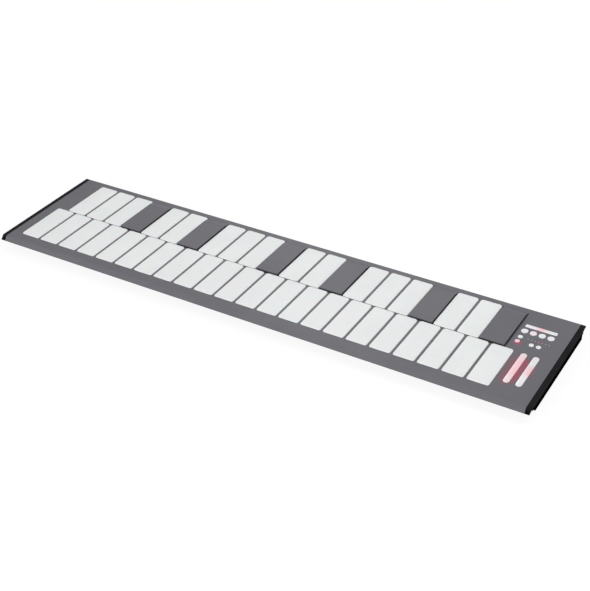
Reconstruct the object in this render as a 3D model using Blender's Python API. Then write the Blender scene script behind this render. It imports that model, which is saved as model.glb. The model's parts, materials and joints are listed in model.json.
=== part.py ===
# Table-top mallet controller: two rows of sprung silicone bars in a sheet deck, with a control panel
# at its right end. Metres, +X to the player's right, +Y away from the player, +Z up.
# The origin lies under the middle of the whole object, on the surface that its feet stand on.

import math

import bmesh
import bpy
from mathutils import Matrix, Vector

# Bars and rows
NATURAL_COUNT = 22
BAR_PITCH = 0.0427
BAR_GAP = 0.0045
BAR_LENGTH = 0.1087
ROW_GAP = 0.0010
BAR_CORNER = 0.0050
CORNER_STEPS = 3
BAR_EDGE = 0.0010
BAR_STAND = 0.0012
BAR_TRAVEL = 0.0010
BAR_CLEARANCE = 0.00035
FLANGE_GRIP = 0.0010
FLANGE_HEIGHT = 0.0010
FLANGE_END = 0.0080

# Deck sheet
DECK_SHEET = 0.0015
LEFT_MARGIN = 0.0206
RIGHT_PANEL = 0.0698
FRONT_STRIP = 0.0190
REAR_STRIP = 0.0126
NOSE_REACH = 0.0070
NOSE_DROP = 0.0080
REAR_LIP = 0.0027

# Raised covers between the groups of accidental bars
BLANK_RISE = 0.0038
BLANK_SIDE_GAP = 0.0018
BLANK_RAMP = 0.0140
BLANK_ROOT = 0.0020
ROOT_STEP = 0.0001
PLATFORM_INSET = 0.0005

# Bar frame under the deck
FRAME_PLATE = 0.0020
FRAME_SKIRT = 0.0010
FRAME_LEDGE = 0.0003
FRAME_SETBACK = 0.0075
PANEL_RIM = 0.0015

# Sensor board and tray
BOARD = 0.0016
SENSOR_INSET = 0.0030
TRAY_SHEET = 0.0010
BODY_HEIGHT = 0.0213
TRAY_FRONT_SETBACK = 0.0055
STUD_RADIUS = 0.0040
STUD_COLUMNS = 5
ROUND_STEPS = 10

# Feet
FOOT_HEIGHT = 0.0040
FOOT_LENGTH = 0.9400
FOOT_WIDTH = 0.0140
FOOT_CORNER = 0.0040
FOOT_INSET = 0.0150

# End caps
END_CAP = 0.0083
END_CAP_STEP = 0.0010
END_CAP_PLUG = 0.0060
NOSE_HOOK = 0.0103
NOSE_HOOK_DEPTH = 0.0038
CAP_TAIL_RUN = 0.0080
CAP_TAIL_DEPTH = 0.0035
CAP_TAIL_ROOT = 0.0055

# Control panel: columns are measured from the deck's right edge, rows from the front of the bars
BIG_BUTTON_RADIUS = 0.0060
SMALL_BUTTON_RADIUS = 0.0043
BUTTON_STAND = 0.0012
BUTTON_EDGE = 0.0005
BUTTON_TRAVEL = 0.0010
BUTTON_FLANGE = 0.0012
BUTTON_STEPS = 16
BIG_BUTTON_COUNT = 4
BIG_BUTTON_PITCH = 0.01515
LAST_BIG_BUTTON_COLUMN = 0.0291
BIG_BUTTON_ROW = 0.1667
MODE_COLUMN = 0.0749
MODE_ROWS = (0.1479, 0.1345)
OCTAVE_COLUMNS = (0.0507, 0.0384)
OCTAVE_ROW = 0.1342
LAMP_COUNT = 7
LAMP_PITCH = 0.0060
LAST_LAMP_COLUMN = 0.0255
LAMP_ROW = 0.1486
LAMP_RADIUS = 0.0012
LAMP_STAND = 0.0002
LIGHT_GUIDE_MARGIN = 0.0018
STRIP_COLUMN = 0.0514
STRIP_ROW = 0.1830
STRIP_LENGTH = 0.0550
STRIP_WIDTH = 0.0080
STRIP_CORNER = 0.0015
FADER_COLUMNS = (0.0512, 0.0305)
FADER_ROW = 0.0649
FADER_LENGTH = 0.0858
FADER_WIDTH = 0.0105
TOUCH_STAND = 0.0005
BOARD_MARGIN = 0.0020

# Main board and rear socket block, under the control panel
SOCKET_COLUMN = 0.0349
MAIN_BOARD_WIDTH = 0.0540
MAIN_BOARD_DEPTH = 0.0600
MAIN_BOARD_SIDE_GAP = 0.0019
SOCKET_PITCH = 0.0180
SOCKET_BLOCK_WIDTH = 0.0500
SOCKET_BLOCK_DEPTH = 0.0160
SOCKET_BLOCK_HEIGHT = 0.0090
DATA_SNOUT_WIDTH = 0.0098
DATA_PORT_WIDTH = 0.0084
DATA_PORT_HEIGHT = 0.0074
DATA_PORT_DEPTH = 0.0110
PEDAL_NOSE_RADIUS = 0.0042
PEDAL_NOSE = 0.0020
PEDAL_BORE_RADIUS = 0.0033
PEDAL_BORE_DEPTH = 0.0150
SOCKET_STEPS = 16

# Gaps between pieces that touch on the real object, and how far cutters run past what they cut
SEAT_GAP = 0.0003
FIT_GAP = 0.0003
OVERLAP = 0.0010

# Places along the object
BAR_WIDTH = BAR_PITCH - BAR_GAP
FIELD_WIDTH = NATURAL_COUNT * BAR_PITCH - BAR_GAP
FIELD_DEPTH = 2 * BAR_LENGTH + ROW_GAP
DECK_LENGTH = LEFT_MARGIN + FIELD_WIDTH + RIGHT_PANEL
DECK_LEFT = -DECK_LENGTH / 2
DECK_RIGHT = DECK_LENGTH / 2
INNER_HALF = DECK_LENGTH / 2 - FIT_GAP
FIELD_LEFT = DECK_LEFT + LEFT_MARGIN
FIELD_RIGHT = FIELD_LEFT + FIELD_WIDTH

# Places across the object
TOTAL_DEPTH = NOSE_REACH + FRONT_STRIP + FIELD_DEPTH + REAR_STRIP
TIP_Y = -TOTAL_DEPTH / 2
REAR_Y = TOTAL_DEPTH / 2
BREAK_Y = TIP_Y + NOSE_REACH
FIELD_FRONT = BREAK_Y + FRONT_STRIP
FIELD_REAR = FIELD_FRONT + FIELD_DEPTH
NATURAL_REAR = FIELD_FRONT + BAR_LENGTH
SHARP_FRONT = NATURAL_REAR + ROW_GAP
FRAME_FRONT = BREAK_Y + FRAME_SETBACK
TRAY_FRONT = FIELD_FRONT + TRAY_FRONT_SETBACK
TRAY_REAR = FIELD_REAR + BAR_CLEARANCE + FRAME_LEDGE + FRAME_SKIRT

# Heights, stacked down from the deck and up from the ground
TRAY_UNDER = FOOT_HEIGHT
TRAY_FLOOR = TRAY_UNDER + TRAY_SHEET
DECK_TOP = TRAY_UNDER + BODY_HEIGHT
DECK_UNDER = DECK_TOP - DECK_SHEET
TIP_Z = DECK_TOP - NOSE_DROP
BAR_TOP = DECK_TOP + BAR_STAND
FRAME_TOP = DECK_UNDER - SEAT_GAP
PLATE_UNDER = FRAME_TOP - FRAME_PLATE
FLANGE_TOP = PLATE_UNDER - SEAT_GAP
BAR_UNDER = FLANGE_TOP - FLANGE_HEIGHT
SENSOR_TOP = BAR_UNDER - BAR_TRAVEL - SEAT_GAP
SENSOR_UNDER = SENSOR_TOP - BOARD
SHELF_TOP = SENSOR_UNDER - SEAT_GAP
SHELF_UNDER = SHELF_TOP - TRAY_SHEET
BLANK_TOP = DECK_TOP + BLANK_RISE
PANEL_BOARD_TOP = PLATE_UNDER - SEAT_GAP
BUTTON_TOP = DECK_TOP + BUTTON_STAND
BUTTON_UNDER = PANEL_BOARD_TOP + SEAT_GAP + BUTTON_TRAVEL
BUTTON_FLANGE_HEIGHT = DECK_UNDER - SEAT_GAP - BUTTON_UNDER
SOCKET_UNDER = TRAY_FLOOR + SEAT_GAP + BOARD + SEAT_GAP
SOCKET_AXIS = SOCKET_UNDER + SOCKET_BLOCK_HEIGHT / 2
SOCKET_INNER = TRAY_REAR - TRAY_SHEET - FIT_GAP

# Widths that several pieces share
FLANGE_REACH = BAR_CLEARANCE + FLANGE_GRIP
BLANK_BAY = BAR_PITCH - BAR_WIDTH / 2
BLANK_HALF = BLANK_BAY - BLANK_SIDE_GAP
BLANK_FRONT = NATURAL_REAR + BLANK_SIDE_GAP
RAMP_START = FIELD_REAR - BLANK_RAMP

# A natural scale from F has no accidental after its 4th and 7th notes
SHARP_LINES = [line for line in range(1, NATURAL_COUNT) if line % 7 not in (0, 4)]
BLANK_LINES = [line for line in range(1, NATURAL_COUNT) if line % 7 in (0, 4)]


def clear_scene():
    for item in list(bpy.data.objects):
        bpy.data.objects.remove(item, do_unlink=True)


def make_collection(name):
    collection = bpy.data.collections.new(name)
    bpy.context.scene.collection.children.link(collection)
    return collection


def make_material(name, colour, roughness, metallic=0.0):
    material = bpy.data.materials.new(name)
    material.use_nodes = True
    shader = material.node_tree.nodes["Principled BSDF"]
    shader.inputs["Base Color"].default_value = (*colour, 1.0)
    shader.inputs["Roughness"].default_value = roughness
    shader.inputs["Metallic"].default_value = metallic
    return material


clear_scene()
PARTS = make_collection("mallet_controller")
CUTTERS = make_collection("cutters")


def place_mesh(name, mesh, collection, material=None, location=(0.0, 0.0, 0.0)):
    item = bpy.data.objects.new(name, mesh)
    item.location = location
    collection.objects.link(item)
    if material is not None and not mesh.materials:
        mesh.materials.append(material)
    return item


def evaluated_mesh(item):
    """The item's mesh with its modifiers, in the item's own space."""
    bpy.context.view_layer.update()
    seen = item.evaluated_get(bpy.context.evaluated_depsgraph_get())
    return bpy.data.meshes.new_from_object(seen)


def box_mesh(name, low, high):
    low, high = Vector(low), Vector(high)
    size = high - low
    middle = (low + high) / 2
    shape = bmesh.new()
    matrix = Matrix.Translation(middle) @ Matrix.Diagonal((*size, 1.0))
    bmesh.ops.create_cube(shape, size=1.0, matrix=matrix)
    mesh = bpy.data.meshes.new(name)
    shape.to_mesh(mesh)
    shape.free()
    return mesh


def round_mesh(name, radius, low, high, steps, axis="Z"):
    """A cylinder about its own axis from low to high along it."""
    turn = Matrix.Identity(4)
    if axis == "Y":
        turn = Matrix.Rotation(-math.pi / 2, 4, "X")
    shape = bmesh.new()
    matrix = turn @ Matrix.Translation((0.0, 0.0, (low + high) / 2))
    bmesh.ops.create_cone(shape, cap_ends=True, segments=steps, radius1=radius, radius2=radius,
                          depth=high - low, matrix=matrix)
    mesh = bpy.data.meshes.new(name)
    shape.to_mesh(mesh)
    shape.free()
    return mesh


def joined_mesh(name, pieces):
    """One mesh from (mesh, offset) pairs, which stay separate bodies."""
    shape = bmesh.new()
    for mesh, offset in pieces:
        start = len(shape.verts)
        shape.from_mesh(mesh)
        shape.verts.ensure_lookup_table()
        bmesh.ops.translate(shape, vec=offset, verts=shape.verts[start:])
    result = bpy.data.meshes.new(name)
    shape.to_mesh(result)
    shape.free()
    return result


def outline_mesh(name, outline, low, high, plane="XY"):
    """A flat outline, filled and given its thickness from low to high along the third axis."""
    curve = bpy.data.curves.new(name, "CURVE")
    curve.dimensions = "2D"
    curve.fill_mode = "BOTH"
    curve.extrude = (high - low) / 2
    spline = curve.splines.new("POLY")
    spline.points.add(len(outline) - 1)
    for point, (across, up) in zip(spline.points, outline):
        point.co = (across, up, 0.0, 1.0)
    spline.use_cyclic_u = True
    guide = bpy.data.objects.new(name, curve)
    CUTTERS.objects.link(guide)
    guide.location = (0.0, 0.0, (low + high) / 2)
    if plane == "YZ":
        guide.matrix_world = Matrix(((0, 0, 1, (low + high) / 2), (1, 0, 0, 0), (0, 1, 0, 0), (0, 0, 0, 1)))
    mesh = evaluated_mesh(guide)
    mesh.transform(guide.matrix_world)
    bpy.data.objects.remove(guide, do_unlink=True)
    bpy.data.curves.remove(curve)
    shape = bmesh.new()
    shape.from_mesh(mesh)
    bmesh.ops.remove_doubles(shape, verts=shape.verts, dist=1e-6)
    bmesh.ops.recalc_face_normals(shape, faces=shape.faces)
    shape.to_mesh(mesh)
    shape.free()
    return mesh


def rounded_outline(width, depth, radius, steps):
    """A rectangle about the origin with round corners."""
    points = []
    for corner, (side_x, side_y) in enumerate(((1, 1), (-1, 1), (-1, -1), (1, -1))):
        centre_x = side_x * (width / 2 - radius)
        centre_y = side_y * (depth / 2 - radius)
        for step in range(steps + 1):
            angle = math.pi / 2 * (corner + step / steps)
            points.append((centre_x + radius * math.cos(angle), centre_y + radius * math.sin(angle)))
    return points


def pill_outline(width, length, steps):
    """A long hole with round ends, along Y."""
    points = []
    for end, side in enumerate((1, -1)):
        for step in range(2 * steps + 1):
            angle = math.pi * (end + step / (2 * steps))
            points.append((width / 2 * math.cos(angle),
                           side * (length - width) / 2 + width / 2 * math.sin(angle)))
    return points


def combine(item, mesh, operation):
    """Adds a Boolean with a cutter, which stays as a wire guide."""
    cutter = place_mesh(item.name + "_" + operation.lower(), mesh, CUTTERS)
    cutter.hide_render = True
    cutter.display_type = "WIRE"
    modifier = item.modifiers.new(operation.title(), "BOOLEAN")
    modifier.solver = "EXACT"
    modifier.operation = operation
    modifier.object = cutter


def smooth_round_sides(mesh):
    mesh.shade_smooth()
    mesh.set_sharp_from_angle(angle=math.radians(35))


def bevel_top_rim(mesh, height, width):
    """Bevels the edges round the top face, at that height."""
    shape = bmesh.new()
    shape.from_mesh(mesh)
    rim = [edge for edge in shape.edges
           if all(abs(vert.co.z - height) < 1e-6 for vert in edge.verts)
           and any(abs(face.normal.z) < 0.5 for face in edge.link_faces)]
    bmesh.ops.bevel(shape, geom=rim, offset=width, segments=1, profile=0.5, affect="EDGES")
    shape.to_mesh(mesh)
    shape.free()


def joined_solid(name, first, second):
    """The union of two meshes, as one body with smooth round sides."""
    master = place_mesh(name + "_master", first, CUTTERS)
    combine(master, second, "UNION")
    mesh = evaluated_mesh(master)
    bpy.data.objects.remove(master, do_unlink=True)
    mesh.name = name
    mesh.materials.clear()
    smooth_round_sides(mesh)
    return mesh


def line_x(line):
    """Where the middle of the gap after that many naturals lies."""
    return FIELD_LEFT - BAR_GAP / 2 + line * BAR_PITCH


def panel_x(column):
    return DECK_RIGHT - column


def panel_y(row):
    return FIELD_FRONT + row


def bar_mesh():
    """One bar about its own middle: a rounded block with a gripping flange along each long side."""
    height = BAR_TOP - BAR_UNDER
    block = outline_mesh("bar_block", rounded_outline(BAR_WIDTH, BAR_LENGTH, BAR_CORNER, CORNER_STEPS),
                         0.0, height)
    bevel_top_rim(block, height, BAR_EDGE)
    half_width = BAR_WIDTH / 2 + FLANGE_REACH
    half_length = BAR_LENGTH / 2 - FLANGE_END
    flange = box_mesh("flange", (-half_width, -half_length, 0.0), (half_width, half_length, FLANGE_HEIGHT))
    return joined_solid("bar", block, flange)


def make_bars(material):
    mesh = bar_mesh()
    mesh.materials.append(material)
    for index in range(NATURAL_COUNT):
        place = (line_x(index + 0.5), FIELD_FRONT + BAR_LENGTH / 2, BAR_UNDER)
        place_mesh(f"natural_bar_{index + 1:02d}", mesh, PARTS, location=place)
    for index, line in enumerate(SHARP_LINES):
        place = (line_x(line), SHARP_FRONT + BAR_LENGTH / 2, BAR_UNDER)
        place_mesh(f"sharp_bar_{index + 1:02d}", mesh, PARTS, location=place)


def window_meshes(outline_maker, low, high):
    """Cutters for both rows. Each window runs on over the gap between the rows, so the rows join."""
    width = BAR_WIDTH + 2 * BAR_CLEARANCE
    length = BAR_LENGTH + BAR_CLEARANCE + ROW_GAP
    window = outline_mesh("window", outline_maker(width, length), low, high)
    natural_y = FIELD_FRONT - BAR_CLEARANCE + length / 2
    sharp_y = FIELD_REAR + BAR_CLEARANCE - length / 2
    naturals = [(window, (line_x(index + 0.5), natural_y, 0)) for index in range(NATURAL_COUNT)]
    sharps = [(window, (line_x(line), sharp_y, 0)) for line in SHARP_LINES]
    return joined_mesh("natural_windows", naturals), joined_mesh("sharp_windows", sharps)


def soft_window(width, length):
    return rounded_outline(width, length, BAR_CORNER + BAR_CLEARANCE, CORNER_STEPS)


def plain_window(width, length):
    return [(width / 2, length / 2), (-width / 2, length / 2), (-width / 2, -length / 2), (width / 2, -length / 2)]


def button_places():
    """Every button as (name, column, row, radius)."""
    places = []
    for index in range(BIG_BUTTON_COUNT):
        column = LAST_BIG_BUTTON_COLUMN + (BIG_BUTTON_COUNT - 1 - index) * BIG_BUTTON_PITCH
        places.append((f"preset_button_{index + 1}", column, BIG_BUTTON_ROW, BIG_BUTTON_RADIUS))
    places.append(("mode_button_upper", MODE_COLUMN, MODE_ROWS[0], SMALL_BUTTON_RADIUS))
    places.append(("mode_button_lower", MODE_COLUMN, MODE_ROWS[1], SMALL_BUTTON_RADIUS))
    places.append(("octave_button_down", OCTAVE_COLUMNS[0], OCTAVE_ROW, SMALL_BUTTON_RADIUS))
    places.append(("octave_button_up", OCTAVE_COLUMNS[1], OCTAVE_ROW, SMALL_BUTTON_RADIUS))
    return places


def lamp_columns():
    return [LAST_LAMP_COLUMN + index * LAMP_PITCH for index in range(LAMP_COUNT)]


def fader_outline(extra):
    return pill_outline(FADER_WIDTH + 2 * extra, FADER_LENGTH + 2 * extra, 2 * CORNER_STEPS)


def strip_outline(extra):
    return rounded_outline(STRIP_LENGTH + 2 * extra, STRIP_WIDTH + 2 * extra, STRIP_CORNER + extra, CORNER_STEPS)


def panel_holes(low, high):
    """Cutters for every button, lamp, fader and the touch strip."""
    holes = []
    for _, column, button_row, radius in button_places():
        hole = round_mesh("hole", radius + FIT_GAP, low, high, BUTTON_STEPS)
        holes.append((hole, (panel_x(column), panel_y(button_row), 0)))
    for column in lamp_columns():
        hole = round_mesh("hole", LAMP_RADIUS + FIT_GAP, low, high, ROUND_STEPS)
        holes.append((hole, (panel_x(column), panel_y(LAMP_ROW), 0)))
    slot = outline_mesh("slot", fader_outline(FIT_GAP), low, high)
    for column in FADER_COLUMNS:
        holes.append((slot, (panel_x(column), panel_y(FADER_ROW), 0)))
    slot = outline_mesh("slot", strip_outline(FIT_GAP), low, high)
    holes.append((slot, (panel_x(STRIP_COLUMN), panel_y(STRIP_ROW), 0)))
    return joined_mesh("panel_holes", holes)


def blank_bays(low, high):
    """Openings round the raised covers, with the corners that they share with a neighbouring bar."""
    bays = []
    for line in BLANK_LINES:
        x = line_x(line)
        bays.append((box_mesh("bay", (x - BLANK_BAY, NATURAL_REAR, low), (x + BLANK_BAY, FIELD_REAR, high)),
                     (0, 0, 0)))
    return joined_mesh("blank_bays", bays)


def bay_corners(low, high):
    corners = []
    reach = BAR_CORNER + 2 * BAR_CLEARANCE
    for line in BLANK_LINES:
        for side in (-1, 1):
            if line + side in SHARP_LINES:
                edge = line_x(line) + side * BLANK_BAY
                left, right = sorted((edge - side * BAR_CLEARANCE, edge + side * reach))
                corner = box_mesh("corner", (left, NATURAL_REAR + ROW_GAP / 2, low),
                                  (right, SHARP_FRONT + reach, high))
                corners.append((corner, (0, 0, 0)))
    return joined_mesh("bay_corners", corners)


def make_top_deck(material):
    """Folded sheet: sloping nose, flat top and short rear lip, with raised tongues between the accidentals."""
    slope = math.hypot(NOSE_REACH, NOSE_DROP)
    wall = DECK_SHEET * slope / NOSE_DROP
    inner_break = BREAK_Y + wall - DECK_SHEET * NOSE_REACH / NOSE_DROP
    outline = [(REAR_Y, DECK_TOP), (BREAK_Y, DECK_TOP), (TIP_Y, TIP_Z), (TIP_Y + wall, TIP_Z),
               (inner_break, DECK_UNDER), (REAR_Y - DECK_SHEET, DECK_UNDER),
               (REAR_Y - DECK_SHEET, DECK_TOP - REAR_LIP), (REAR_Y, DECK_TOP - REAR_LIP)]
    sheet = outline_mesh("deck_sheet", outline, -INNER_HALF, INNER_HALF, "YZ")
    deck = place_mesh("top_deck", sheet, PARTS, material)
    low = DECK_UNDER - OVERLAP
    high = DECK_TOP + OVERLAP
    naturals, sharps = window_meshes(soft_window, low, high)
    combine(deck, naturals, "DIFFERENCE")
    combine(deck, sharps, "DIFFERENCE")
    combine(deck, blank_bays(low, high), "DIFFERENCE")
    combine(deck, bay_corners(low, high), "DIFFERENCE")
    combine(deck, panel_holes(low, high), "DIFFERENCE")
    tongue_under = BLANK_TOP - DECK_SHEET
    root_top = DECK_TOP - ROOT_STEP
    root_under = DECK_UNDER + ROOT_STEP
    outline = [(BLANK_FRONT, BLANK_TOP), (BLANK_FRONT, tongue_under), (RAMP_START, tongue_under),
               (FIELD_REAR, root_under), (FIELD_REAR + BLANK_ROOT, root_under),
               (FIELD_REAR + BLANK_ROOT, root_top), (FIELD_REAR, root_top), (RAMP_START, BLANK_TOP)]
    tongue = outline_mesh("tongue", outline, -BLANK_HALF, BLANK_HALF, "YZ")
    combine(deck, joined_mesh("tongues", [(tongue, (line_x(line), 0, 0)) for line in BLANK_LINES]), "UNION")


def panel_windows():
    """The frame's two windows over the control board, as (low corner, high corner)."""
    reach = BUTTON_FLANGE + PANEL_RIM
    places = button_places()
    left = min(panel_x(column) - radius for _, column, _, radius in places) - reach
    right = max(panel_x(column) + radius for _, column, _, radius in places) + reach
    front = min(panel_y(row) - radius for _, _, row, radius in places) - reach
    button_low = (left, front)
    button_high = (right, panel_y(STRIP_ROW) + STRIP_WIDTH / 2 + PANEL_RIM)
    fader_low = (panel_x(FADER_COLUMNS[0]) - FADER_WIDTH / 2 - PANEL_RIM,
                 panel_y(FADER_ROW) - FADER_LENGTH / 2 - PANEL_RIM)
    fader_high = (right, panel_y(FADER_ROW) + FADER_LENGTH / 2 + PANEL_RIM)
    return (button_low, button_high), (fader_low, fader_high)


def make_bar_frame(material):
    """Moulded lid on the tray: ribs between the bars, a skirt all round, and a platform under each raised cover."""
    skirt_foot = SHELF_TOP + SEAT_GAP
    shell = box_mesh("frame_shell", (-INNER_HALF, FRAME_FRONT, skirt_foot), (INNER_HALF, TRAY_REAR, FRAME_TOP))
    frame = place_mesh("bar_frame", shell, PARTS, material)
    combine(frame, box_mesh("hollow", (-INNER_HALF + FRAME_SKIRT, FRAME_FRONT + FRAME_SKIRT, skirt_foot - OVERLAP),
                            (INNER_HALF - FRAME_SKIRT, TRAY_REAR - FRAME_SKIRT, PLATE_UNDER)), "DIFFERENCE")
    low = PLATE_UNDER - OVERLAP / 2
    high = FRAME_TOP + OVERLAP
    naturals, sharps = window_meshes(plain_window, low, high)
    combine(frame, naturals, "DIFFERENCE")
    combine(frame, sharps, "DIFFERENCE")
    openings = [(box_mesh("panel", (*corner, low), (*opposite, high)), (0, 0, 0))
                for corner, opposite in panel_windows()]
    combine(frame, joined_mesh("panel_windows", openings), "DIFFERENCE")
    half = BLANK_HALF - PLATFORM_INSET
    platform = box_mesh("platform", (-half, BLANK_FRONT + PLATFORM_INSET, PLATE_UNDER + FRAME_PLATE / 2),
                        (half, RAMP_START - PLATFORM_INSET, BLANK_TOP - DECK_SHEET - SEAT_GAP))
    combine(frame, joined_mesh("platforms", [(platform, (line_x(line), 0, 0)) for line in BLANK_LINES]), "UNION")


def make_sensor_board(material):
    board = box_mesh("sensor_board", (FIELD_LEFT, FIELD_FRONT + SENSOR_INSET, SENSOR_UNDER),
                     (FIELD_RIGHT, FIELD_REAR - SENSOR_INSET, SENSOR_TOP))
    place_mesh("sensor_board", board, PARTS, material)


def make_tray(material):
    """Lower body: a folded channel with a shelf under the front of the bar frame, and studs for the board."""
    outline = [(FRAME_FRONT, SHELF_UNDER), (TRAY_FRONT, SHELF_UNDER), (TRAY_FRONT, TRAY_UNDER),
               (TRAY_REAR, TRAY_UNDER), (TRAY_REAR, SHELF_TOP), (TRAY_REAR - TRAY_SHEET, SHELF_TOP),
               (TRAY_REAR - TRAY_SHEET, TRAY_FLOOR), (TRAY_FRONT + TRAY_SHEET, TRAY_FLOOR),
               (TRAY_FRONT + TRAY_SHEET, SHELF_TOP), (FRAME_FRONT, SHELF_TOP)]
    channel = outline_mesh("channel", outline, -INNER_HALF, INNER_HALF, "YZ")
    tray = place_mesh("bottom_tray", channel, PARTS, material)
    stud = round_mesh("stud", STUD_RADIUS, TRAY_UNDER + TRAY_SHEET / 2, SHELF_TOP, ROUND_STEPS)
    places = []
    for row in (FIELD_FRONT + BAR_LENGTH / 2, SHARP_FRONT + BAR_LENGTH / 2):
        for index in range(STUD_COLUMNS):
            places.append((stud, (FIELD_LEFT + FIELD_WIDTH * (index + 0.5) / STUD_COLUMNS, row, 0)))
    combine(tray, joined_mesh("studs", places), "UNION")
    low = TRAY_REAR - TRAY_SHEET - OVERLAP
    high = TRAY_REAR + OVERLAP
    data, *pedals = socket_columns()
    half_width = DATA_SNOUT_WIDTH / 2 + FIT_GAP
    half_height = SOCKET_BLOCK_HEIGHT / 2 + FIT_GAP
    port = box_mesh("port", (data - half_width, low, SOCKET_AXIS - half_height),
                    (data + half_width, high, SOCKET_AXIS + half_height))
    nose = round_mesh("nose_hole", PEDAL_NOSE_RADIUS + FIT_GAP, low, high, SOCKET_STEPS, "Y")
    holes = [(port, (0, 0, 0))] + [(nose, (column, 0, SOCKET_AXIS)) for column in pedals]
    combine(tray, joined_mesh("socket_holes", holes), "DIFFERENCE")


def make_control_board(material):
    """Board that hangs under the frame's two panel windows."""
    slabs = []
    for low, high in panel_windows():
        corner = (low[0] - BOARD_MARGIN, low[1] - BOARD_MARGIN, PANEL_BOARD_TOP - BOARD)
        opposite = (high[0] + BOARD_MARGIN, high[1] + BOARD_MARGIN, PANEL_BOARD_TOP)
        slabs.append((corner, opposite))
    (button_low, button_high), (fader_low, fader_high) = slabs
    board = place_mesh("control_board", box_mesh("button_board", button_low, button_high), PARTS, material)
    fader_high = (button_high[0], button_low[1] + BOARD_MARGIN, fader_high[2])
    combine(board, box_mesh("fader_board", fader_low, fader_high), "UNION")


def make_main_board(material):
    low = TRAY_FLOOR + SEAT_GAP
    right = DECK_RIGHT - END_CAP_PLUG - MAIN_BOARD_SIDE_GAP
    board = box_mesh("main_board", (right - MAIN_BOARD_WIDTH, SOCKET_INNER - MAIN_BOARD_DEPTH, low),
                     (right, SOCKET_INNER, low + BOARD))
    place_mesh("main_board", board, PARTS, material)


def socket_columns():
    """Where the data socket and the two pedal sockets lie along the rear wall."""
    return [panel_x(SOCKET_COLUMN) + (index - 1) * SOCKET_PITCH for index in range(3)]


def make_socket_block(material):
    """One moulded block with a data socket and two pedal sockets that reach through the rear wall."""
    low = SOCKET_UNDER
    high = SOCKET_UNDER + SOCKET_BLOCK_HEIGHT
    middle = panel_x(SOCKET_COLUMN)
    data, *pedals = socket_columns()
    block = box_mesh("block", (middle - SOCKET_BLOCK_WIDTH / 2, SOCKET_INNER - SOCKET_BLOCK_DEPTH, low),
                     (middle + SOCKET_BLOCK_WIDTH / 2, SOCKET_INNER, high))
    sockets = place_mesh("rear_socket_block", block, PARTS, material)
    snout = box_mesh("snout", (data - DATA_SNOUT_WIDTH / 2, SOCKET_INNER - OVERLAP, low),
                     (data + DATA_SNOUT_WIDTH / 2, TRAY_REAR, high))
    nose = round_mesh("nose", PEDAL_NOSE_RADIUS, SOCKET_INNER - OVERLAP, TRAY_REAR + PEDAL_NOSE, SOCKET_STEPS, "Y")
    noses = [(snout, (0, 0, 0))] + [(nose, (column, 0, SOCKET_AXIS)) for column in pedals]
    combine(sockets, joined_mesh("noses", noses), "UNION")
    port = box_mesh("port", (data - DATA_PORT_WIDTH / 2, TRAY_REAR - DATA_PORT_DEPTH,
                             SOCKET_AXIS - DATA_PORT_HEIGHT / 2),
                    (data + DATA_PORT_WIDTH / 2, TRAY_REAR + OVERLAP, SOCKET_AXIS + DATA_PORT_HEIGHT / 2))
    mouth = TRAY_REAR + PEDAL_NOSE
    bore = round_mesh("bore", PEDAL_BORE_RADIUS, mouth - PEDAL_BORE_DEPTH, mouth + OVERLAP, SOCKET_STEPS, "Y")
    hollows = [(port, (0, 0, 0))] + [(bore, (column, 0, SOCKET_AXIS)) for column in pedals]
    combine(sockets, joined_mesh("hollows", hollows), "DIFFERENCE")


def make_end_cap(name, side, material):
    """Cap with the side profile of deck and frame, a thinner lower part, and a plug that fits inside the tray."""
    lower_y = TRAY_REAR
    upper = [(BREAK_Y, DECK_TOP), (TIP_Y, TIP_Z), (TIP_Y + NOSE_HOOK, DECK_TOP - NOSE_HOOK_DEPTH),
             (FRAME_FRONT, DECK_TOP - NOSE_HOOK_DEPTH), (FRAME_FRONT, SHELF_UNDER), (lower_y, SHELF_UNDER),
             (lower_y - OVERLAP, DECK_TOP - CAP_TAIL_ROOT), (REAR_Y - CAP_TAIL_RUN, DECK_TOP - CAP_TAIL_DEPTH),
             (REAR_Y - OVERLAP, DECK_TOP - REAR_LIP), (REAR_Y, DECK_TOP)]
    lower = [(TRAY_FRONT, TRAY_UNDER), (lower_y, TRAY_UNDER), (lower_y, SHELF_UNDER + OVERLAP / 2),
             (TRAY_FRONT, SHELF_UNDER + OVERLAP / 2)]
    spans = {"upper": (DECK_RIGHT, DECK_RIGHT + END_CAP),
             "lower": (DECK_RIGHT, DECK_RIGHT + END_CAP - END_CAP_STEP),
             "plug": (DECK_RIGHT - END_CAP_PLUG, DECK_RIGHT + OVERLAP)}
    if side < 0:
        spans = {part: (-high, -low) for part, (low, high) in spans.items()}
    cap = place_mesh(name, outline_mesh("cap_upper", upper, *spans["upper"], "YZ"), PARTS, material)
    combine(cap, outline_mesh("cap_lower", lower, *spans["lower"], "YZ"), "UNION")
    plug_low = (spans["plug"][0], TRAY_FRONT + TRAY_SHEET + FIT_GAP, TRAY_FLOOR + SEAT_GAP)
    plug_high = (spans["plug"][1], TRAY_REAR - TRAY_SHEET - FIT_GAP, SHELF_UNDER)
    combine(cap, box_mesh("cap_plug", plug_low, plug_high), "UNION")


def make_feet(material):
    outline = rounded_outline(FOOT_LENGTH, FOOT_WIDTH, FOOT_CORNER, CORNER_STEPS)
    for name, row in (("front_foot_strip", TRAY_FRONT + FOOT_INSET), ("rear_foot_strip", TRAY_REAR - FOOT_INSET)):
        strip = outline_mesh(name, outline, 0.0, FOOT_HEIGHT - SEAT_GAP)
        place_mesh(name, strip, PARTS, material, (0.0, row, 0.0))


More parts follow.
